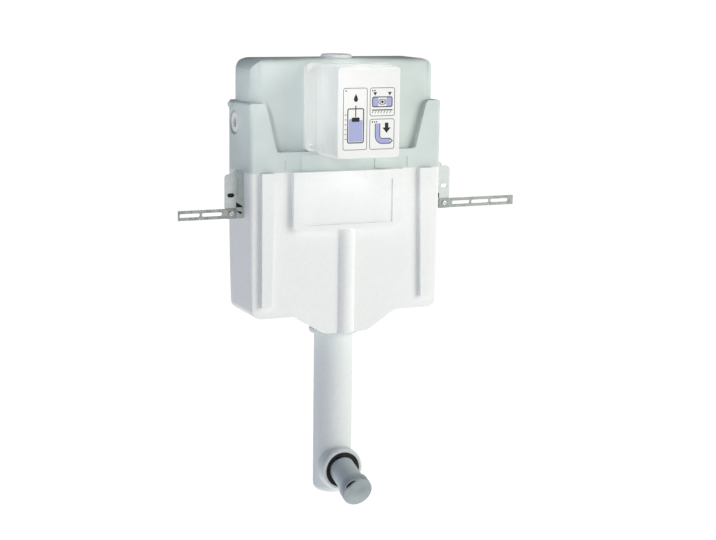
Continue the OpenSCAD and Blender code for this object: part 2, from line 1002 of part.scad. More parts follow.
module float_rod() {
    collar = 4.65;
    color("#f0f1ef")
        placed()
            translate([rod_x, inlet_y, 0]) {
                translate([0, 0, float_foot + float_h - 16])
                    cylinder(h = lever_z + 14 - float_foot - float_h + 16, r = rod_r);
                for (z = [lever_z - collar - 3, lever_z + collar])
                    translate([0, 0, z])
                        cylinder(h = 3, r = 5);
            }
}

// Outlet and flush valve

module outlet_seat() {
    color("#e9ebea")
        placed()
            difference() {
                union() {
                    translate([0, 0, tail_end])
                        cylinder(h = seat_flange_z - tail_end + past, r = tail_r);
                    translate([0, 0, seat_flange_z])
                        cylinder(h = seat_flange_t, r = seat_flange_r);
                    translate([0, 0, seat_flange_z])
                        cylinder(h = seat_rim_z - seat_flange_z, r = outlet_bore_r + seat_rim_t);
                }
                translate([0, 0, tail_end - past])
                    cylinder(h = seat_rim_z - tail_end + 2 * past, r = outlet_bore_r);
            }
}

module outlet_seal() {
    color("#2b2c2e")
        placed()
            ring(floor_in, seat_flange_z, tail_r + gap, seat_flange_r - 1);
}

module outlet_locknut() {
    color("#d8dcda")
        placed()
            union() {
                ring(funnel_z + 1, tub_floor, tail_r + thread_fit, locknut_r - 3);
                for (turn = [0:45:315])
                    rotate([0, 0, turn])
                        translate([locknut_r - 6, -3, funnel_z + 1])
                            cube([5.5, 6, tub_floor - funnel_z - 1]);
            }
}

module flush_valve_cage() {
    post_r = 2.8;
    color("#4f86b4")
        placed()
            difference() {
                union() {
                    ring(cage_z, cage_z + 5, washer_r + 4, cage_r);
                    for (turn = [45:90:315])
                        rotate([0, 0, turn])
                            translate([cage_r - post_r - 0.6, 0, cage_z + 1])
                                cylinder(h = cage_h - 2, r = post_r);
                    translate([0, 0, cage_top - 6])
                        cylinder(h = 6, r = cage_r);
                    translate([0, 0, cage_top - 18])
                        cylinder(h = 18, r = overflow_r + 4);
                }
                translate([0, 0, cage_top - 18 - past])
                    cylinder(h = 18 + 2 * past, r = overflow_r + pin_fit);
                translate([-half_rod_x, 0, cage_top - 18 - past])
                    cylinder(h = 18 + 2 * past, r = 3 + pin_fit);
            }
}

module overflow_tube() {
    color("#f1f3f2")
        placed()
            difference() {
                union() {
                    translate([0, 0, tube_foot])
                        cylinder(h = overflow_top - tube_foot, r = overflow_r);
                    translate([0, 0, tube_foot])
                        cylinder(h = 4, r = washer_r);
                }
                translate([0, 0, tube_foot - past])
                    cylinder(h = overflow_top - tube_foot + 2 * past, r = overflow_r - 2);
            }
}

module valve_washer() {
    color("#3a3b3d")
        placed()
            ring(seat_rim_z, tube_foot, overflow_r - 2, washer_r);
}

module lift_cap() {
    color("#4f86b4")
        placed() {
            ring(overflow_top, overflow_top + 6, overflow_r - 4, overflow_r + 1.5);
            translate([-overflow_r + 1, -3, overflow_top + 4])
                cube([2 * overflow_r - 2, 6, 5]);
            translate([0, 0, overflow_top + 5])
                cylinder(h = lift_head_z - overflow_top - 4, r = stem_r);
            translate([0, 0, lift_head_z])
                cylinder(h = 4, r = 10);
        }
}

module half_flush_rod() {
    color("#f1f3f2")
        placed()
            translate([-half_rod_x, 0, 0]) {
                translate([0, 0, cage_top - 14])
                    cylinder(h = lift_head_z - cage_top + 14 + past, r = 3);
                translate([0, 0, lift_head_z])
                    cylinder(h = 4, r = 8);
            }
}

module half_flush_float() {
    color("#efe9cf")
        placed()
            translate([-half_rod_x, 0, 0])
                ring(cage_top, cage_top + 46, 3, half_rod_x - overflow_r - gap);
}

// Lever mechanism behind the service opening

module lever_bridge() {
    foot_z = serv_z - open_h / 2;
    color("#e2e5e4")
        placed()
            difference() {
                union() {
                    for (x = [bridge_left - bridge_t, bridge_right])
                        along_x(x, x + bridge_t)
                            polygon(rounded([
                                [panel_y, foot_z, 0], [-half_rod_x + 3, foot_z, 0],
                                [pivot_y + 9, pivot_z - 12, 5], [pivot_y + 9, pivot_z + 9, 6],
                                [pivot_y - 9, pivot_z + 9, 6], [panel_y, foot_z + 14, 3]
                            ]));
                    translate([bridge_left - past, panel_y, foot_z])
                        cube([bridge_right - bridge_left + 2 * past, -half_rod_x + 3 - panel_y, 4]);
                }
                translate([0, pivot_y, pivot_z])
                    rod_x_axis(
                        bridge_left - bridge_t - past, bridge_right + bridge_t + past,
                        pivot_r + pin_fit
                    );
            }
}

module lever_pivot_pin() {
    color("#b8bcc0")
        placed()
            translate([0, pivot_y, pivot_z])
                rod_x_axis(bridge_left - bridge_t - 1.5, bridge_right + bridge_t + 1.5, pivot_r);
}

// A bell crank: a fork that lifts a rod at fork_x, and a plate that a flush plate's push rod meets
module flush_lever(hub_x0, hub_x1, fork_x, slot_r, plate_x0, plate_x1) {
    prong = 5;
    head_reach = 13;
    plate_h = 30;
    difference() {
        union() {
            translate([0, pivot_y, pivot_z])
                rod_x_axis(hub_x0, hub_x1, hub_r);
            for (x = [fork_x - slot_r - prong, fork_x + slot_r]) {
                along_x(x, x + prong)
                    polygon([
                        [pivot_y + 2, pivot_z - hub_r + 1], [pivot_y - 2, pivot_z + hub_r - 1],
                        [head_reach, fork_z + 2.8], [0, fork_z + 2.8],
                        [0, fork_z - 2.8], [head_reach + 2, fork_z - 3.2]
                    ]);
                translate([0, 0, fork_z])
                    rod_x_axis(x, x + prong, fork_pad_r);
            }
            along_x(plate_x0 + 4, plate_x0 + 12)
                polygon([
                    [pivot_y - 3, pivot_z - 4], [pivot_y + 4, pivot_z + 3],
                    [push_y, push_z + 8], [push_y, push_z - 8]
                ]);
            along_y(push_y - 3, push_y)
                translate([(plate_x0 + plate_x1) / 2, push_z])
                    rounded_rect(plate_x1 - plate_x0, plate_h, 3);
        }
        translate([0, pivot_y, pivot_z])
            rod_x_axis(hub_x0 - past, hub_x1 + past, pivot_r + pin_fit);
    }
}

module full_flush_lever() {
    color("#f4f5f4")
        placed()
            flush_lever(
                hub_split + gap, bridge_right - gap, 0, stem_r + 0.6,
                plate_split + plate_gap / 2, bridge_right - 1
            );
}

module half_flush_lever() {
    color("#4f86b4")
        placed()
            flush_lever(
                bridge_left + gap, hub_split - gap, -half_rod_x, 3.6,
                bridge_left + 2, plate_split - plate_gap / 2
            );
}

// Flush pipe

// The pipe's bend from upright to the front
module elbow(r) {
    translate([0, -elbow_r, elbow_r])
        rotate([0, 0, 90])
            rotate([90, 0, 0])
                rotate([0, 0, -90])
                    rotate_extrude(angle = 90)
                        translate([elbow_r, 0])
                            circle(r);
}

// The pipe's run from its top at z1, round the elbow, to y0 at the mouth
module pipe_path(r, z1, y0) {
    translate([0, 0, elbow_r])
        cylinder(h = z1 - elbow_r, r = r);
    elbow(r);
    rod_y_axis(y0, -elbow_r, r);
}

module flush_pipe() {
    flange_z = nut_foot + 5;
    color("#f3f5f5")
        placed()
            difference() {
                union() {
                    pipe_path(pipe_r, flange_z + 3, seal_back + 1);
                    translate([0, 0, flange_z])
                        cylinder(h = 3, r = tail_r - 0.3);
                    rod_y_axis(-outlet_reach, seal_back + 3, socket_r + pipe_wall);
                }
                pipe_path(pipe_r - pipe_wall, flange_z + 3 + past, seal_back - past);
                rod_y_axis(-outlet_reach - past, seal_back, socket_r);
            }
}

module pipe_washer() {
    color("#3a3b3d")
        placed()
            ring(nut_foot + 8, tail_end, outlet_bore_r, tail_r - 0.3);
}

module union_collar() {
    grip_n = 24;
    color("#eef0f0")
        placed()
            difference() {
                union() {
                    translate([0, 0, collar_top - collar_t])
                        rotate_extrude()
                            polygon([
                                [tail_r + thread_fit, 0], [collar_r - 2, 0], [collar_r, 2],
                                [collar_r, collar_t - 2], [collar_r - 2, collar_t],
                                [tail_r + thread_fit, collar_t]
                            ]);
                    ring(nut_foot, collar_top - collar_t + past, tail_r + thread_fit, tail_r + 3.4);
                    ring(nut_foot, nut_foot + 5, pipe_r + gap, tail_r + 3.4);
                }
                for (i = [0:grip_n - 1])
                    rotate([0, 0, i * 360 / grip_n])
                        translate([collar_r + 1.6, 0, collar_top - collar_t - past])
                            cylinder(h = collar_t + 2 * past, r = 2.6);
            }
}

module sleeve() {
    difference() {
        union() {
            rotate_extrude()
                polygon(rounded([
                    [0, -sleeve_foot, 0], [sleeve_r, -sleeve_foot, foot_r],
                    [sleeve_r, sleeve_top, 0], [0, sleeve_top, 0]
                ]));
            rotate([90, 0, 0])
                rotate_extrude()
                    polygon([
                        [0, 0], [sleeve_r - 4, 8], [mouth_ring_r, 30], [mouth_ring_r, outlet_reach - 5],
                        [mouth_ring_r - 4, outlet_reach], [0, outlet_reach]
                    ]);
        }
        translate([0, 0, -sleeve_bore])
            cylinder(h = sleeve_top + sleeve_bore + past, r = sleeve_bore);
        rod_y_axis(-outlet_reach, sleeve_bore, sleeve_bore);
        elbow(sleeve_bore - gap);
        rod_y_axis(-outlet_reach - past, seal_back + 4, socket_r + pipe_wall + gap);
        translate([0, 0, nut_foot - gap])
            cylinder(h = sleeve_top - nut_foot + gap + past, r = tail_r + 3.4 + gap);
    }
}

module sleeve_half(y0, y1) {
    placed()
        intersection() {
            sleeve();
            translate([-collar_r, y0, -2 * sleeve_foot])
                cube([2 * collar_r, y1 - y0, sleeve_top + 3 * sleeve_foot]);
        }
}

module pipe_insulation_front() {
    color("#eef2f2")
        sleeve_half(-2 * outlet_reach, 0);
}

module pipe_insulation_rear() {
    color("#e6eaec")
        sleeve_half(0, 2 * outlet_reach);
}

module mouth_seal() {
    mouth = -outlet_reach;
    lip = 3;
    color("#1d1e20")
        placed()
            rotate([90, 0, 0])
                rotate_extrude()
                    polygon([
                        [lip_r, -mouth - 1], [socket_r - pin_fit, -mouth - 1],
                        [socket_r - pin_fit, -seal_back],
                        [socket_r - lip, -seal_back], [socket_r - lip, -mouth - 12], [lip_r, -mouth - 9]
                    ]);
}

module outlet_plug() {
    step = plug_len - plug_end_t;
    flare = plug_end_r - plug_r;
    color("#9fa8ab")
        placed()
            translate([0, -outlet_reach, plug_rest])
                rotate([90 + plug_droop, 0, 0])
                    difference() {
                        rotate_extrude()
                            polygon(rounded([
                                [plug_r - plug_wall, -plug_in, 0], [plug_r, -plug_in, 0],
                                [plug_r, step, 0], [plug_end_r, step + flare, 0],
                                [plug_end_r, plug_len, plug_rim_r], [0, plug_len, 0],
                                [0, plug_len - plug_wall, 0],
                                [plug_end_r - plug_wall, plug_len - plug_wall, plug_rim_r - plug_wall],
                                [plug_end_r - plug_wall, step + flare + 1, 0],
                                [plug_r - plug_wall, step + 1, 0]
                            ]));
                        rotate([0, 0, plug_cut_turn])
                            translate([-plug_end_r, plug_end_r - plug_cut, plug_len])
                                rotate([-45, 0, 0])
                                    translate([0, -plug_end_r, 0])
                                        cube([2 * plug_end_r, 2 * plug_end_r, plug_cut]);
                    }
}

// Fixing brackets and straps, drawn on the right side

module bracket() {
    difference() {
        union() {
            along_y(flange_y - steel, flange_y)
                polygon(rounded([
                    [half_w, bracket_foot, 0], [half_w + flange_w, bracket_foot, 7],
                    [half_w + flange_w, bracket_top, 7], [half_w, bracket_top, 0]
                ]));
            along_x(half_w, half_w + steel)
                polygon(rounded([
                    [flange_y - steel, bracket_foot, 0], [flange_y + leg_d, bracket_foot, 7],
                    [flange_y + leg_d, bracket_top, 7], [flange_y - steel, bracket_top, 0]
                ]));
            along_y(flange_y - steel, flange_y)
                translate([half_w + 12, bracket_top])
                    difference() {
                        circle(9);
                        circle(5);
                        translate([-10, -20])
                            square([20, 19]);
                    }
            translate([slot_x, 0, slot_z])
                rod_y_axis(flange_y - steel - boss_proud, flange_y, boss_r);
        }
        along_y(flange_y - steel - past, flange_y + past) {
            translate([slot_x, slot_z])
                obround(slot_len, slot_w);
            translate([half_w + 2.5, strap_z]) {
                polygon([[0, 11], [13, 11], [13, 21.5], [0, 13]]);
                polygon([[0, 2], [3.5, -2.5], [13, 5]]);
            }
        }
        along_y(flange_y - steel - past, flange_y - steel + fold_depth)
            translate([fold_x, strap_z + 26])
                square([fold_w, bracket_top - 9 - strap_z - 26]);
        translate([slot_x, 0, strap_z])
            rod_y_axis(flange_y - steel - past, flange_y + past, strap_screw_r + pin_fit);
        for (z = leg_screw_z)
            translate([0, leg_screw_y, z])
                rod_x_axis(half_w - past, half_w + steel + past, leg_screw_r + gap);
    }
}

module wall_bracket_right() {
    color("#c4c8cc")
        placed()
            bracket();
}

module wall_bracket_left() {
    color("#c4c8cc")
        placed()
            mirror([1, 0, 0])
                bracket();
}

module bracket_screws() {
    color("#b4b8bc")
        placed()
            at_leg_screws() {
                rod_x_axis(half_w - jacket_t + 1, half_w + steel + past, leg_screw_r);
                rod_x_axis(half_w + steel, half_w + steel + 3, 5);
            }
}

// A perforated strap along +X from its pivot hole, with toothed edges
module strap(length) {
    inner = 11;
    tooth = 1.2;
    teeth = round((length + inner) / 6);
    pitch = (length + inner) / teeth;
    slots = floor((length - strap_root) / strap_pitch);
    half_h = strap_h / 2;
    edge = [for (i = [0:2 * teeth]) [-inner + i * pitch / 2, half_h - (i % 2 == 0 ? tooth : 0)]];
    back_edge = [for (i = [2 * teeth:-1:0]) [edge[i].x, -edge[i].y]];
    difference() {
        along_y(-strap_t, 0)
            difference() {
                polygon(concat(edge, back_edge));
                for (i = [0:slots - 1])
                    translate([strap_root + strap_pitch * (i + 0.5), 0])
                        obround(strap_pitch - strap_bar, strap_h - 2 * strap_rail);
            }
        rod_y_axis(-strap_t - past, past, strap_screw_r + pin_fit);
    }
}

module at_strap() {
    translate([slot_x, flange_y - steel - gap, strap_z])
        children();
}

module strap_right() {
    color("#d6d9dc")
        placed()
            at_strap()
                strap(strap_reach_right - slot_x);
}

module strap_left() {
    color("#d6d9dc")
        placed()
            mirror([1, 0, 0])
                at_strap()
                    strap(strap_reach_left - slot_x);
}

module at_strap_screws() {
    for (side = [0, 1])
        mirror([side, 0, 0])
            at_strap()
                children();
}

module strap_screws() {
    color("#b4b8bc")
        placed()
            at_strap_screws() {
                rod_y_axis(-strap_t - gap - strap_head_h, -strap_t - gap, strap_head_r);
                rod_y_axis(-strap_t - gap - past, steel + gap + 8, strap_screw_r);
            }
}

module strap_nuts() {
    color("#a9adb1")
        placed()
            at_strap_screws()
                difference() {
                    translate([-5, steel + gap, -5])
                        cube([10, 5, 10]);
                    rod_y_axis(0, steel + gap + 5 + past, strap_screw_r + pin_fit);
                }
}

tank_shell();
insulation_front();
insulation_rear();
top_inlet_cap();
top_inlet_nut();
side_blank_plug();
side_plug_nut();
inlet_bush();
inlet_nut();
service_frame();
frame_screws();
service_shroud();
instruction_label();
stop_valve_body();
stop_valve_knob();
fill_hose();
hose_nuts();
fill_valve_bracket();
fill_valve_body();
silencer_tube();
valve_lever();
valve_lever_pin();
float();
float_rod();
outlet_seat();
outlet_seal();
outlet_locknut();
flush_valve_cage();
overflow_tube();
valve_washer();
lift_cap();
half_flush_rod();
half_flush_float();
lever_bridge();
lever_pivot_pin();
full_flush_lever();
half_flush_lever();
flush_pipe();
pipe_washer();
union_collar();
pipe_insulation_front();
pipe_insulation_rear();
mouth_seal();
outlet_plug();
wall_bracket_left();
wall_bracket_right();
bracket_screws();
strap_left();
strap_right();
strap_screws();
strap_nuts();
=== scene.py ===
"""Looks of a concealed toilet cistern: tank, foam jacket, service shroud, flush pipe and wall brackets."""
import math

import bmesh
import bpy
from mathutils import Matrix, Vector


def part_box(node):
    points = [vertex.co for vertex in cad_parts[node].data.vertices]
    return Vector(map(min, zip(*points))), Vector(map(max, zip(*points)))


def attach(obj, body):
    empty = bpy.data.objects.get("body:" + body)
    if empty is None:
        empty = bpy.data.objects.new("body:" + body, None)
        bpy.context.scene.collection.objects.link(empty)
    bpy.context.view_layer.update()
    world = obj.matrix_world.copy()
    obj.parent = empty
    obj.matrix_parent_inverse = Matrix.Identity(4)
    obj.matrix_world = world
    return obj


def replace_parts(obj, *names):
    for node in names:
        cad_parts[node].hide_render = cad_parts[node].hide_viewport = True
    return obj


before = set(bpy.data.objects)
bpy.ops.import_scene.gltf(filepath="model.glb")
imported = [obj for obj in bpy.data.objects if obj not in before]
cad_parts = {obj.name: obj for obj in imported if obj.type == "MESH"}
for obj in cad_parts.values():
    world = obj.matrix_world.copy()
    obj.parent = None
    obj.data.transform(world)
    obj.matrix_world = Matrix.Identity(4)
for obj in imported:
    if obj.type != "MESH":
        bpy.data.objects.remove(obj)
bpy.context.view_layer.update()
MM = 0.001

# Label, in millimetres over its back: the film's face, the ink's foot and the two inks' faces
FILM_TOP, INK_FOOT, TINT_TOP, BLACK_TOP = 0.25, 0.1, 0.30, 0.35
# Brackets, in millimetres: half the jacket's width, where a flange starts, its sheet and the dark pad behind it,
# painted shade for its openings
FLANGE_START, SHEET_T, SHADE_PAD_T = 200, 2.0, 1
# Float, in millimetres: trim that keeps its faces off the tank at the top of its travel
FLOAT_TRIM = 0.3


# Small helpers for colours, nodes and meshes
def srgb(code):
    """Linear RGBA of an sRGB hex colour."""
    parts = [int(code[i:i + 2], 16) / 255 for i in (1, 3, 5)]
    return [c / 12.92 if c <= 0.04045 else ((c + 0.055) / 1.055) ** 2.4 for c in parts] + [1.0]


def per_mm(size):
    """Texture scale whose pattern repeats about every `size` millimetres of the row's metres."""
    return 1 / (size * MM)


def add(tree, kind, values=None, links=None, **settings):
    """Adds one node with its settings, socket values and links, and returns it."""
    node = tree.nodes.new("ShaderNode" + kind)
    for name, value in settings.items():
        setattr(node, name, value)
    for socket, value in (values or {}).items():
        node.inputs[socket].default_value = value
    for socket, source in (links or {}).items():
        tree.links.new(source, node.inputs[socket])
    return node


def start_material(name, **shader):
    """A new material with its Principled shader's own sockets set, and the piece's own coordinates."""
    material = bpy.data.materials.new(name)
    material.use_nodes = True
    tree = material.node_tree
    skin = tree.nodes["Principled BSDF"]
    for socket, value in shader.items():
        skin.inputs[socket.replace("_", " ")].default_value = value
    place = add(tree, "TexCoord").outputs["Object"]
    return material, tree, skin, place


def shade(tree, factor, dark, light):
    """Colour between two hex values, driven by a factor socket."""
    mix = add(tree, "Mix", {6: srgb(dark), 7: srgb(light)}, {0: factor}, data_type="RGBA")
    return mix.outputs[2]


def span(tree, factor, low, high, start=0.0, end=1.0):
    """A factor's stretch from start to end, mapped onto low to high."""
    values = {"From Min": start, "From Max": end, "To Min": low, "To Max": high}
    return add(tree, "MapRange", values, {"Value": factor}).outputs["Result"]


def relief(tree, skin, height, depth, strength=1.0):
    """Raises the surface by a height socket, up to a real depth in millimetres."""
    bump = add(tree, "Bump", {"Strength": strength, "Distance": depth * MM}, {"Height": height})
    tree.links.new(bump.outputs["Normal"], skin.inputs["Normal"])


def link_mesh(name, mesh, material):
    """Object of a finished mesh in one material, linked to the scene."""
    mesh.materials.append(material)
    piece = bpy.data.objects.new(name, mesh)
    bpy.context.scene.collection.objects.link(piece)
    return piece


# Materials
def blown_polyethylene():
    """Natural high-density polyethylene, blow moulded: waxy, cloudy and a little see-through, with slow
    swings in wall thickness and the fine orange peel of the cooled mould."""
    material, tree, skin, place = start_material(
        "natural_blown_polyethylene", IOR=1.54, Transmission_Weight=0.22, Specular_IOR_Level=0.4)
    swing = add(tree, "TexNoise", {"Scale": per_mm(60), "Detail": 2.0}, {"Vector": place}).outputs["Fac"]
    peel = add(tree, "TexNoise", {"Scale": per_mm(2.5), "Detail": 2.0}, {"Vector": place}).outputs["Fac"]
    tone = span(tree, swing, 0, 1, 0.3, 0.7)
    tree.links.new(shade(tree, tone, "#DCE8E5", "#E5EFED"), skin.inputs["Base Color"])
    tree.links.new(span(tree, peel, 0.55, 0.68, 0.3, 0.7), skin.inputs["Roughness"])
    relief(tree, skin, peel, 0.12, 0.35)
    return material


def bead_foam(name, dark, light):
    """Expanded polystyrene, steam moulded: matt white with the closed mosaic of pressed beads. Real beads
    are 3 mm across; they are drawn at 5 mm so that they show."""
    material, tree, skin, place = start_material(name, IOR=1.5, Specular_IOR_Level=0.25)
    bead = add(tree, "TexVoronoi", {"Scale": per_mm(5)}, {"Vector": place}, feature="DISTANCE_TO_EDGE")
    tint = add(tree, "TexVoronoi", {"Scale": per_mm(5)}, {"Vector": place})
    cell = add(tree, "SeparateColor", links={"Color": tint.outputs["Color"]}).outputs["Red"]
    tree.links.new(shade(tree, cell, dark, light), skin.inputs["Base Color"])
    tree.links.new(span(tree, cell, 0.72, 0.86), skin.inputs["Roughness"])
    dome = span(tree, bead.outputs["Distance"], 0, 1, 0.0, 0.12)
    relief(tree, skin, dome, 0.15, 0.18)
    return material


def moulded_polypropylene(name, dark, light, rough=0.38):
    """Injection moulded polypropylene: even colour, soft gloss and the fine spark texture of the tool."""
    material, tree, skin, place = start_material(name, IOR=1.49)
    spark = add(tree, "TexNoise", {"Scale": per_mm(1.2), "Detail": 3.0}, {"Vector": place}).outputs["Fac"]
    flow = add(tree, "TexNoise", {"Scale": per_mm(45), "Detail": 1.0}, {"Vector": place}).outputs["Fac"]
    tree.links.new(shade(tree, span(tree, flow, 0, 1, 0.3, 0.7), dark, light), skin.inputs["Base Color"])
    tree.links.new(span(tree, spark, rough - 0.06, rough + 0.08, 0.3, 0.7), skin.inputs["Roughness"])
    relief(tree, skin, spark, 0.05, 0.3)
    return material


def closed_cell_foam():
    """Cream closed-cell float foam: matt, with pores of a millimetre or two, painted darker toward their middle
    as painted shade in the hollows.
    """
    material, tree, skin, place = start_material("cream_float_foam", IOR=1.45, Specular_IOR_Level=0.2)
    pore_hollow_shade = add(tree, "TexVoronoi", {"Scale": per_mm(2)}, {"Vector": place}).outputs["Distance"]
    # Painted shade: each pore is darker toward its hollow middle
    tree.links.new(shade(tree, pore_hollow_shade, "#D8CDB2", "#EFE8D2"), skin.inputs["Base Color"])
    tree.links.new(span(tree, pore_hollow_shade, 0.75, 0.9), skin.inputs["Roughness"])
    relief(tree, skin, pore_hollow_shade, 0.3, 0.5)
    return material


def sealing_rubber():
    """Moulded EPDM: near black and matt, greyed a little by talc."""
    material, tree, skin, place = start_material("moulded_epdm_rubber", IOR=1.5, Specular_IOR_Level=0.35)
    talc = add(tree, "TexNoise", {"Scale": per_mm(6), "Detail": 4.0}, {"Vector": place}).outputs["Fac"]
    tree.links.new(shade(tree, span(tree, talc, 0, 1, 0.4, 0.8), "#050506", "#131316"), skin.inputs["Base Color"])
    tree.links.new(span(tree, talc, 0.42, 0.7, 0.3, 0.7), skin.inputs["Roughness"])
    relief(tree, skin, talc, 0.08, 0.3)
    return material


def grey_polyethylene():
    """Soft grey low-density polyethylene of the building-site plug: satin. The narrow neck is painted paler than
    the solid end: a painted glow that stands in for light passing through it."""
    material, tree, skin, place = start_material(
        "grey_plug_polyethylene", IOR=1.51, Subsurface_Weight=0.12, Subsurface_Scale=0.004)
    skin.inputs["Subsurface Radius"].default_value = (1.0, 1.0, 1.0)
    haze = add(tree, "TexNoise", {"Scale": per_mm(18), "Detail": 2.0}, {"Vector": place}).outputs["Fac"]
    depth = add(tree, "SeparateXYZ", links={"Vector": place}).outputs["Y"]
    # Painted light: toward the neck the colour turns paler, a painted glow for light passing through the wall
    neck_glow_mask = span(tree, depth, 0, 1, -0.074, -0.050)
    peel = add(tree, "TexNoise", {"Scale": per_mm(2), "Detail": 2.0}, {"Vector": place}).outputs["Fac"]
    solid = shade(tree, span(tree, haze, 0, 1, 0.3, 0.7), "#8C979B", "#9AA4A7")
    painted_neck_glow = add(tree, "Mix", {7: srgb("#C4CED1")}, {0: neck_glow_mask, 6: solid}, data_type="RGBA").outputs[2]
    tree.links.new(painted_neck_glow, skin.inputs["Base Color"])
    tree.links.new(span(tree, peel, 0.42, 0.56, 0.3, 0.7), skin.inputs["Roughness"])
    relief(tree, skin, peel, 0.08, 0.3)
    return material


def galvanised_sheet(name, dark, light):
    """Hot-dip galvanised steel sheet: pale grey with crystal spangles, each with its own tilt and gloss."""
    material, tree, skin, place = start_material(name, Metallic=0.6)
    spangle = add(tree, "TexVoronoi", {"Scale": per_mm(9)}, {"Vector": place})
    crystal = add(tree, "SeparateColor", links={"Color": spangle.outputs["Color"]}).outputs["Green"]
    frost = add(tree, "TexNoise", {"Scale": per_mm(3), "Detail": 5.0}, {"Vector": place}).outputs["Fac"]
    tree.links.new(shade(tree, crystal, dark, light), skin.inputs["Base Color"])
    tree.links.new(span(tree, crystal, 0.48, 0.62), skin.inputs["Roughness"])
    relief(tree, skin, frost, 0.04, 0.4)
    return material


def zinc_plate():
    """Bright zinc plating on rolled screws and nuts: cool, slightly streaked metal."""
    material, tree, skin, place = start_material("zinc_plated_steel", Metallic=1.0)
    streak = add(tree, "TexNoise", {"Scale": per_mm(2.5), "Detail": 3.0}, {"Vector": place}).outputs["Fac"]
    tree.links.new(shade(tree, streak, "#A9ADB2", "#CDD1D4"), skin.inputs["Base Color"])
    tree.links.new(span(tree, streak, 0.25, 0.45, 0.3, 0.7), skin.inputs["Roughness"])
    return material


def turned_brass():
    """Brass bar turned on a lathe: warm metal with fine tool rings."""
    material, tree, skin, place = start_material("turned_brass", Metallic=1.0)
    ring = add(tree, "TexWave", {"Scale": per_mm(1.2) / (2 * math.pi), "Distortion": 0.4}, {"Vector": place})
    dull = add(tree, "TexNoise", {"Scale": per_mm(10), "Detail": 3.0}, {"Vector": place}).outputs["Fac"]
    tree.links.new(shade(tree, dull, "#9C7A3C", "#C9A862"), skin.inputs["Base Color"])
    tree.links.new(span(tree, dull, 0.24, 0.42, 0.3, 0.7), skin.inputs["Roughness"])
    relief(tree, skin, ring.outputs["Fac"], 0.02, 0.3)
    return material


def braided_sheath():
    """Stainless wire braid over a rubber hose: crossing bundles. Their crowns are painted bright, a painted
    highlight, and the gaps dark, partly the black hose beneath and partly painted shade.
    """
    material, tree, skin, place = start_material("stainless_wire_braid", Metallic=0.9)
    weave = per_mm(4.5) / (2 * math.pi)
    one = add(tree, "TexWave", {"Scale": weave}, {"Vector": place}, bands_direction="DIAGONAL")
    turn = add(tree, "Mapping", {"Rotation": (0, math.radians(90), 0)}, {"Vector": place}).outputs["Vector"]
    two = add(tree, "TexWave", {"Scale": weave}, {"Vector": turn}, bands_direction="DIAGONAL")
    crown_sheen_and_gap = add(tree, "Math", links={0: one.outputs["Fac"], 1: two.outputs["Fac"]}, operation="MAXIMUM")
    # Painted highlight on the bundles' crowns; the dark gaps are partly the black hose and partly painted shade
    tree.links.new(shade(tree, crown_sheen_and_gap.outputs[0], "#55585C", "#C6CACD"), skin.inputs["Base Color"])
    tree.links.new(span(tree, crown_sheen_and_gap.outputs[0], 0.5, 0.28), skin.inputs["Roughness"])
    relief(tree, skin, crown_sheen_and_gap.outputs[0], 0.4, 0.6)
    return material


def printed_film():
    """White polypropylene label film: smooth and satin, with a faint ripple from the adhesive."""
    material, tree, skin, place = start_material("white_label_film", IOR=1.49)
    ripple = add(tree, "TexNoise", {"Scale": per_mm(25), "Detail": 2.0}, {"Vector": place}).outputs["Fac"]
    tree.links.new(shade(tree, ripple, "#E5E6E5", "#EBECEB"), skin.inputs["Base Color"])
    tree.links.new(span(tree, ripple, 0.30, 0.42, 0.3, 0.7), skin.inputs["Roughness"])
    relief(tree, skin, ripple, 0.06, 0.25)
    return material


def printing_ink(name, dark, light):
    """Screen printed ink on the label: dense and even, with the grain of the mesh at its edges."""
    material, tree, skin, place = start_material(name, IOR=1.48, Specular_IOR_Level=0.3)
    grain = add(tree, "TexNoise", {"Scale": per_mm(0.8), "Detail": 2.0}, {"Vector": place}).outputs["Fac"]
    tree.links.new(shade(tree, grain, dark, light), skin.inputs["Base Color"])
    tree.links.new(span(tree, grain, 0.45, 0.6, 0.3, 0.7), skin.inputs["Roughness"])
    return material


def studio_floor():
    """Pale sweep of painted board, lit from within so that it stays light all the way back."""
    material, tree, skin, place = start_material(
        "pale_studio_board", Roughness=0.9, Specular_IOR_Level=0.1, Emission_Strength=1.0)
    skin.inputs["Emission Color"].default_value = srgb("#FFFFFF")
    speck = add(tree, "TexNoise", {"Scale": per_mm(400), "Detail": 2.0}, {"Vector": place}).outputs["Fac"]
    tree.links.new(shade(tree, speck, "#808080", "#868686"), skin.inputs["Base Color"])
    return material


# Camera at the photograph's angle
def photo_camera():
    """Camera whose 716 by 540 frame shows the cistern from the front left and slightly above."""
    yaw, pitch, roll = (math.radians(a) for a in (24.40, 10.34, 0.76))
    focal_px, frame_px, sensor = 1600, 716, 36.0
    distance = 3.128
    aim_right, aim_up = 0.0449, -0.2018
    anchor = Vector((0, 0.055, 0.600))
    ahead = Vector((math.sin(yaw) * math.cos(pitch), math.cos(yaw) * math.cos(pitch), -math.sin(pitch)))
    level = Vector((math.cos(yaw), -math.sin(yaw), 0))
    rise = level.cross(ahead)
    right = level * math.cos(roll) + rise * math.sin(roll)
    up = rise * math.cos(roll) - level * math.sin(roll)
    eye = anchor + right * aim_right + up * aim_up - ahead * distance
    data = bpy.data.cameras.new("photo_camera")
    data.sensor_width = sensor
    data.lens = focal_px / frame_px * sensor
    camera = bpy.data.objects.new("photo_camera", data)
    camera.matrix_world = Matrix((right, up, -ahead)).transposed().to_4x4()
    camera.location = eye
    bpy.context.scene.collection.objects.link(camera)
    bpy.context.scene.camera = camera


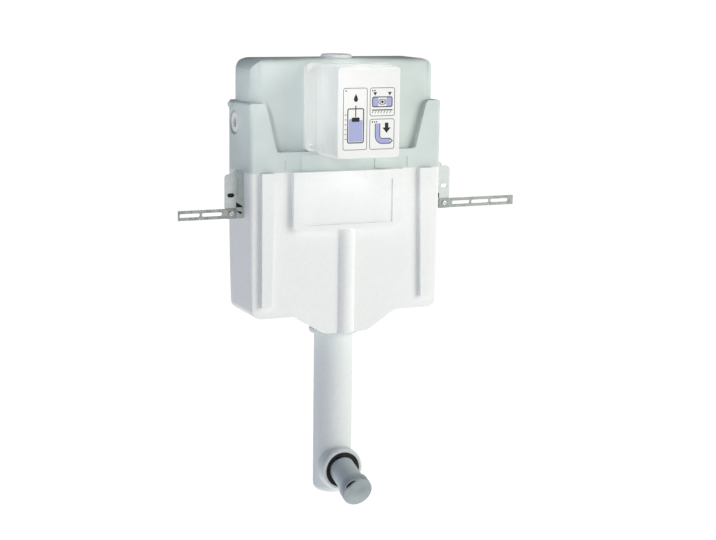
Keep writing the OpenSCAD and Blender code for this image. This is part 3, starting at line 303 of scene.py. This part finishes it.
# Plain pale floor and soft studio light
def studio():
    """Floor below the pipe, a white dome that only the camera sees, a softbox from the front right, two small
    fills from the left and above, and a dim surround."""
    floor_z, reach = -0.23, 45.0
    board = studio_floor()
    floor_mesh = bpy.data.meshes.new("studio_floor")
    corners = [(x * reach, y * reach, floor_z) for x, y in ((-1, -1), (1, -1), (1, 1), (-1, 1))]
    floor_mesh.from_pydata(corners, [], [(0, 1, 2, 3)])
    floor = link_mesh("studio_floor", floor_mesh, board)
    dome = bmesh.new()
    bmesh.ops.create_uvsphere(dome, u_segments=48, v_segments=24, radius=reach * 0.95)
    dome_mesh = bpy.data.meshes.new("studio_backdrop")
    dome.to_mesh(dome_mesh)
    dome.free()
    backdrop = link_mesh("studio_backdrop", dome_mesh, board)
    for light_path in ("diffuse", "glossy", "transmission", "shadow"):
        setattr(backdrop, "visible_" + light_path, False)
    softbox("key_softbox", (2.47, -2.47, 1.3), (0, 0, 0.45), 2.2, 78, "#FFFDF6")
    softbox("shroud_fill", (-0.905, -0.646, 1.126), (-0.10, -0.02, 0.75), 0.12, 0.088, "#FFFFFF", 20)
    softbox("top_fill", (-0.02, -0.12, 1.80), (0.0, -0.06, 0.79), 0.12, 0.070, "#FFFFFF", 12)
    world = bpy.data.worlds.new("studio_surround")
    world.use_nodes = True
    tree = world.node_tree
    where = add(tree, "TexCoord").outputs["Generated"]
    way = add(tree, "SeparateXYZ", links={"Vector": where})
    left = span(tree, way.outputs["X"], 0, 1, 0.0, -0.9)
    overhead = span(tree, way.outputs["Z"], 0, 1, 0.2, 0.95)
    walls = shade(tree, left, "#101012", "#3A5A8C")
    glow = add(tree, "Mix", {7: srgb("#8C8C8C")}, {0: overhead, 6: walls}, data_type="RGBA")
    tree.links.new(glow.outputs[2], tree.nodes["Background"].inputs["Color"])
    bpy.context.scene.world = world
    bpy.context.scene.view_settings.view_transform = "Standard"


def softbox(name, place, aim, size, watts, tint, spread=180):
    """Square area light; a small spread in degrees stands for the grid in front of a softbox."""
    data = bpy.data.lights.new(name, "AREA")
    data.size = size
    data.spread = math.radians(spread)
    data.energy = watts
    data.color = srgb(tint)[:3]
    light = bpy.data.objects.new(name, data)
    light.location = place
    light.rotation_euler = (Vector(aim) - Vector(place)).to_track_quat("-Z", "Y").to_euler()
    bpy.context.scene.collection.objects.link(light)


# Finish of the CAD pieces: material and broken edges
def dress(names, material, edge):
    """Gives nodes their material, and edges rounded by `edge` millimetres as moulding or rolling leaves them."""
    seam, flat_angle, sharp_angle = 0.002 * MM, math.radians(0.4), math.radians(40)
    for name in names.split():
        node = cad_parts[name]
        if not node.material_slots:
            node.data.materials.append(material)
        for slot in node.material_slots:
            slot.material = material
        weld = node.modifiers.new("close_seams", "WELD")
        weld.merge_threshold = seam
        flats = node.modifiers.new("whole_flats", "DECIMATE")
        flats.decimate_type = "DISSOLVE"
        flats.angle_limit = flat_angle
        if edge:
            broken = node.modifiers.new("broken_edges", "BEVEL")
            broken.width = edge * MM
            broken.segments = 2
            broken.limit_method = "ANGLE"
            broken.angle_limit = sharp_angle
            broken.use_clamp_overlap = True
        even = node.modifiers.new("even_shading", "WEIGHTED_NORMAL")
        even.keep_sharp = False


def dress_nodes():
    """Materials of the CAD pieces, and how far the edges of each kind are broken, in millimetres."""
    foam = bead_foam("white_bead_foam", "#EBEEEE", "#EFF1F0")
    # Sleeve foam: the jacket's white foam painted greyer, painted shade for the lesser light low down on the
    # sleeve
    shade_grey_sleeve_foam = bead_foam("shade_darkened_bead_foam", "#DEE4E4", "#E2E7E7")
    white = moulded_polypropylene("white_polypropylene", "#E4E7E4", "#EAECEA")
    # Collar and pipe: the white polypropylene painted greyer, painted shade for their place under the jacket
    shade_grey_pipe_white = moulded_polypropylene("shade_darkened_polypropylene", "#CFD7D7", "#D8DFDF")
    acetal = moulded_polypropylene("white_acetal", "#E6E8E4", "#EFF0ED", 0.3)
    grey = moulded_polypropylene("light_grey_abs", "#C4C9C8", "#D0D4D3")
    blue = moulded_polypropylene("blue_abs", "#3F6F9A", "#4B7DA8", 0.32)
    brass, zinc, rubber = turned_brass(), zinc_plate(), sealing_rubber()
    sheet = galvanised_sheet("galvanised_steel_sheet", "#B9C0BE", "#C9CFCD")
    strip = galvanised_sheet("galvanised_perforated_strip", "#848B88", "#A5ABA8")
    dress("tank_shell", blown_polyethylene(), 1.5)
    dress("insulation_front insulation_rear", foam, 4.0)
    dress("pipe_insulation_front pipe_insulation_rear", shade_grey_sleeve_foam, 1.0)
    dress("service_frame service_shroud top_inlet_cap side_blank_plug", white, 0.5)
    dress("union_collar flush_pipe", shade_grey_pipe_white, 0.5)
    dress("inlet_bush", white, 0.3)
    dress("top_inlet_nut side_plug_nut outlet_locknut lever_bridge", white, 0.4)
    dress("fill_valve_bracket fill_valve_body silencer_tube outlet_seat lift_cap valve_lever", acetal, 0.4)
    dress("flush_valve_cage overflow_tube half_flush_rod float_rod", grey, 0.3)
    dress("full_flush_lever half_flush_lever stop_valve_knob half_flush_float", blue, 0.3)
    dress("inlet_nut stop_valve_body hose_nuts", brass, 0.3)
    dress("fill_hose", braided_sheath(), 0)
    dress("float", closed_cell_foam(), 1.0)
    cut_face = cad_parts["float"].modifiers.new("cut_foam_face", "DISPLACE")
    cut_face.strength, cut_face.mid_level = -FLOAT_TRIM * MM, 0.0
    dress("outlet_seal valve_washer pipe_washer mouth_seal", rubber, 0.3)
    dress("outlet_plug", grey_polyethylene(), 0.6)
    dress("wall_bracket_left wall_bracket_right", sheet, 0.2)
    dress("strap_left strap_right", strip, 0.2)
    dress("strap_nuts valve_lever_pin lever_pivot_pin", zinc, 0.15)


# Label on the shroud: film and print in raised ink, drawn in millimetres about the label's centre
def label_spot(u, v, height):
    """Row position of a point u to the right of the label's centre, v above it and so far out of its back."""
    low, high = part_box("instruction_label")
    return ((low[0] + high[0]) / 2 + u * MM, high[1] - height * MM, (low[2] + high[2]) / 2 + v * MM)


def arc(u, v, radius, start=0, end=360, steps=20):
    """Points along an arc about (u, v), angles in degrees."""
    turns = [math.radians(start + (end - start) * i / steps) for i in range(steps + (end - start < 360))]
    return [(u + radius * math.cos(a), v + radius * math.sin(a)) for a in turns]


def oblong(u0, v0, u1, v1, radius):
    """Outline of a rectangle with rounded corners."""
    spots = ((u1 - radius, v1 - radius, 0), (u0 + radius, v1 - radius, 90),
             (u0 + radius, v0 + radius, 180), (u1 - radius, v0 + radius, 270))
    return [p for u, v, a in spots for p in arc(u, v, radius, a, a + 90, 5)]


def block(bm, rims):
    """Closed block between two outlines of as many points."""
    loops = [[bm.verts.new(spot) for spot in rim] for rim in rims]
    for loop in loops:
        bm.faces.new(loop)
    for i in range(len(loops[0])):
        bm.faces.new((loops[0][i - 1], loops[0][i], loops[1][i], loops[1][i - 1]))


def ink_area(bm, outline, low, high):
    """Inked area inside an outline, between two heights over the label's back."""
    block(bm, [[label_spot(u, v, h) for u, v in outline] for h in (low, high)])


def ink_line(bm, path, width, low, high, closed=False):
    """Line of even width along a path, corners mitred."""
    spots, rows = [Vector(p) for p in path], []
    for i, spot in enumerate(spots):
        last = spots[i - 1] if i or closed else None
        after = spots[(i + 1) % len(spots)] if i + 1 < len(spots) or closed else None
        ways = [(b - a).normalized() for a, b in ((last, spot), (spot, after)) if a and b]
        along = (ways[0] + ways[-1]).normalized()
        across = Vector((-along.y, along.x)) * (width / 2 / along.dot(ways[0]))
        one, two = spot + across, spot - across
        corners = ((one, low), (two, low), (two, high), (one, high))
        rows.append([bm.verts.new(label_spot(*corner, height)) for corner, height in corners])
    for a, b in list(zip(rows, rows[1:])) + ([(rows[-1], rows[0])] if closed else []):
        for k in range(4):
            bm.faces.new((a[k - 1], a[k], b[k], b[k - 1]))
    if not closed:
        bm.faces.new(rows[0])
        bm.faces.new(rows[-1])


def finish_piece(name, bm, material, body):
    """Turns a mesh in row coordinates into a piece in one material that rides on a body."""
    bmesh.ops.recalc_face_normals(bm, faces=bm.faces)
    mesh = bpy.data.meshes.new(name)
    bm.to_mesh(mesh)
    bm.free()
    piece = link_mesh(name, mesh, material)
    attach(piece, body)
    return piece


def label():
    """Film with three framed pictures: filling to a level, setting level, the pipe bend."""
    low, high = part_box("instruction_label")
    half_u, half_v = (high[0] - low[0]) / 2 / MM, (high[2] - low[2]) / 2 / MM
    film, tint, black = bmesh.new(), bmesh.new(), bmesh.new()
    ink_area(film, oblong(-half_u, -half_v, half_u, half_v, 6), 0, FILM_TOP)
    print_tint(tint)
    print_black(black)
    sheet = finish_piece("label_film", film, printed_film(), "shroud")
    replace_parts(sheet, "instruction_label")
    violet = printing_ink("violet_screen_ink", "#9A9FCC", "#ACB0D7")
    finish_piece("label_tint_print", tint, violet, "shroud")
    jet = printing_ink("black_screen_ink", "#101013", "#1E1E22")
    finish_piece("label_black_print", black, jet, "shroud")


def print_tint(bm):
    """Violet areas: water, the level's body and the pipe's wall."""
    ripple = [(-41 + 28 * i / 12, -12 + 1.6 * math.sin(i * math.pi / 3)) for i in range(13)]
    for outline in ([(-41, -53), (-13, -53)] + ripple[::-1], oblong(8, 12, 19, 28, 2), oblong(35, 12, 46, 28, 2)):
        ink_area(bm, outline, INK_FOOT, TINT_TOP)
    bend = [(18, -20), (18, -43)] + arc(28, -43, 10, 180, 270, 8)[1:] + [(44, -53)]
    ink_line(bm, bend, 9, INK_FOOT, TINT_TOP)


def print_black(bm):
    """Black lines and solid shapes: frames and step dots, a tank with float, drop and scale, a spirit level on
    hatched ground, and the pipe bend with arrows."""
    def line(path, width=1.6, closed=False):
        ink_line(bm, path, width, INK_FOOT, BLACK_TOP, closed)

    def area(outline):
        ink_area(bm, outline, INK_FOOT, BLACK_TOP)

    for frame_line in ((-52, -68, -4, 46), (2, -6, 52, 46), (2, -68, 52, -12)):
        line(oblong(*frame_line, 4), 1.0, True)
    for u, v, dots in ((-47, 41, 1), (7, 41, 2), (7, -17, 3)):
        for i in range(dots):
            area(arc(u + 4.5 * i, v, 1.5, steps=12))
    line(oblong(-43, -55, -11, 8, 3), 2.0, True)
    area(oblong(-35, -16, -19, -8, 2))
    line([(-27, -7), (-27, 14)], 2.0)
    area([(-27, 36), (-31, 27)] + arc(-27, 25, 4.2, 160, 380, 12) + [(-23, 27)])
    for i in range(6):
        line([(-49, -48 + 9 * i), (-45.5, -48 + 9 * i)], 1.2)
    line(oblong(7, 11, 47, 29, 3), 1.8, True)
    line(oblong(20, 15.5, 34, 24.5, 4), 1.2, True)
    area(arc(27, 20, 2.6, steps=14))
    line([(23, 16.5), (23, 23.5)], 0.9)
    line([(31, 16.5), (31, 23.5)], 0.9)
    line([(6, 5), (48, 5)], 1.8)
    for i in range(7):
        line([(9 + 6 * i, 4), (6 + 6 * i, -1)], 1.0)
    for u in (12, 42):
        area([(u - 4, 38), (u + 4, 38), (u, 31.5)])
    for reach in (5.25, 14.75):
        wall = arc(28, -43, reach, 180, 270, 8)[1:]
        line([(28 - reach, -20), (28 - reach, -43)] + wall + [(44, -43 - reach)], 1.4)
    area([(33, -19), (40, -19), (40, -28), (45, -28), (36.5, -38), (28, -28), (33, -28)])
    line([(43, -58), (48.5, -53), (43, -48)], 1.8)


# Dark pads behind the openings of the wall brackets: painted shade in the openings, in the rubber's black
def bracket_shade_pads(rubber):
    """Dark pads behind the brackets' cut corners, and one behind the left slot, slit for its screw: painted
    shade, black sheets that stand in for the shade seen through these openings.
    """
    # Painted shade: dark sheets put where the openings would show shade
    corner_shade_pad = (2.0, 8, 15.5, 32, 2)
    slit_shade_pad = ((17, 39, 35, 44.95, 1.5), (17, 45.05, 35, 51, 1.5))
    for name, side, pads in (("left", -1, (corner_shade_pad, *slit_shade_pad)), ("right", 1, (corner_shade_pad,))):
        low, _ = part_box("wall_bracket_" + name)
        back = low[1] + SHEET_T * MM
        bm = bmesh.new()
        for pad in pads:
            block(bm, [[(side * (FLANGE_START + u) * MM, back + y * MM, low[2] + v * MM) for u, v in oblong(*pad)]
                       for y in (0, SHADE_PAD_T)])
        finish_piece("bracket_shade_pad_" + name, bm, rubber, "cistern")


# Moulded pads and ribs on the tank's front, over the jacket
def tank_pads(plastic):
    """Two low pads and two ribs that stiffen the band under the shroud."""
    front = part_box("tank_shell")[0][1]
    foot, sunk, slope = 601, 0.5, 0.8
    pad, rib = (57, 97, 633, 1.6, 3.0), (126.5, 129.5, 624, 1.2, 1.45)
    bm = bmesh.new()
    for side in (-1, 1):
        for near, far, top, proud, corner in (pad, rib):
            u0, u1 = sorted((side * near, side * far))
            block(bm, [[(u * MM, front - h * MM, v * MM)
                        for u, v in oblong(u0 + s, foot + s, u1 - s, top - s, corner - s)]
                       for h, s in ((-sunk, 0), (proud, slope))])
    finish_piece("tank_front_pads", bm, plastic, "cistern")


# Screws with cross recesses and rolled threads in place of the plain CAD ones
def islands(node):
    """Lowest and highest corner of each separate solid of a CAD node."""
    bm = bmesh.new()
    bm.from_mesh(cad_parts[node].data)
    bmesh.ops.remove_doubles(bm, verts=bm.verts, dist=0.001 * MM)
    unseen, boxes = set(bm.verts), []
    while unseen:
        found, queue = [], [unseen.pop()]
        while queue:
            spot = queue.pop()
            found.append(spot.co.copy())
            for edge in spot.link_edges:
                other = edge.other_vert(spot)
                if other in unseen:
                    unseen.remove(other)
                    queue.append(other)
        boxes.append([Vector([pick(p[k] for p in found) for k in range(3)]) for pick in (min, max)])
    bm.free()
    return sorted(boxes, key=lambda pair: tuple(pair[0]))


def screw(bm, tip, top, head_r, head_h, shank_r, pitch):
    """Screw from its tip to the top of its head: threaded shank, domed head, cross recess; sizes in metres."""
    facets, rings_per_turn, thread_depth = 20, 6, pitch * 0.32
    tip_r, crest_r, neck_r = shank_r * 0.6, shank_r * 0.99, shank_r * 0.9
    head_profile = ((0.97, 0), (1, 0.08), (1, 0.55), (0.92, 0.85), (0.76, 1))
    arm, half, pit_depth, pit_taper = head_r * 0.58, head_r * 0.15, head_h * 0.62, 0.8
    along = (top - tip).normalized()
    side = along.orthogonal().normalized()
    over = along.cross(side)
    seat = (top - tip).length - head_h

    def ring(radius, height, thread=0.0):
        rim = []
        for i in range(facets):
            turn = 2 * math.pi * i / facets
            wave = abs(((height / pitch - i / facets) % 1) * 2 - 1)
            out = side * math.cos(turn) + over * math.sin(turn)
            rim.append(bm.verts.new(tip + along * height + out * (radius - thread * wave)))
        return rim

    steps = math.ceil(seat / pitch * rings_per_turn)
    rims = [ring(tip_r, 0)]
    rims += [ring(crest_r, seat * (i + 1) / (steps + 1), thread_depth) for i in range(steps)]
    rims += [ring(neck_r, seat)]
    rims += [ring(head_r * r, seat + head_h * h) for r, h in head_profile]
    for a, b in zip(rims, rims[1:]):
        for i in range(facets):
            bm.faces.new((a[i - 1], a[i], b[i], b[i - 1]))
    bm.faces.new(rims[0])
    cross = [(arm, -half), (arm, half), (half, half), (half, arm), (-half, arm), (-half, half),
             (-arm, half), (-arm, -half), (-half, -half), (-half, -arm), (half, -arm), (half, -half)]
    pit = [[bm.verts.new(top - along * sunk + side * u * k + over * v * k) for u, v in cross]
           for sunk, k in ((0, 1), (pit_depth, pit_taper))]
    for i in range(len(cross)):
        bm.faces.new((pit[0][i - 1], pit[0][i], pit[1][i], pit[1][i - 1]))
    bm.faces.new(pit[1])
    open_rims = (rims[-1], pit[0])
    edges = [bm.edges.get((loop[i - 1], loop[i])) for loop in open_rims for i in range(len(loop))]
    bmesh.ops.triangle_fill(bm, edges=edges, use_beauty=True)


def screws(node, axis, material, head_h, shank_r, pitch):
    """Replaces a CAD node of screws along an axis; heads face the front or the outside."""
    bm = bmesh.new()
    for low, high in islands(node):
        middle = (low + high) / 2
        outward = 1 if axis == 0 and middle.x > 0 else -1
        tip, top = middle.copy(), middle.copy()
        tip[axis], top[axis] = (low[axis], high[axis]) if outward > 0 else (high[axis], low[axis])
        head_r = (high.z - low.z) / 2
        screw(bm, tip, top, head_r, head_h * MM, shank_r * MM, pitch * MM)
    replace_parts(finish_piece(node + "_threaded", bm, material, "cistern"), node)


photo_camera()
studio()
dress_nodes()
label()
bracket_shade_pads(bpy.data.materials["moulded_epdm_rubber"])
tank_pads(bpy.data.materials["natural_blown_polyethylene"])
screws("frame_screws", 1, bpy.data.materials["white_polypropylene"], 2.4, 2.0, 1.4)
screws("bracket_screws", 0, bpy.data.materials["zinc_plated_steel"], 3.0, 2.4, 1.6)
screws("strap_screws", 1, bpy.data.materials["zinc_plated_steel"], 1.6, 3.0, 1.0)
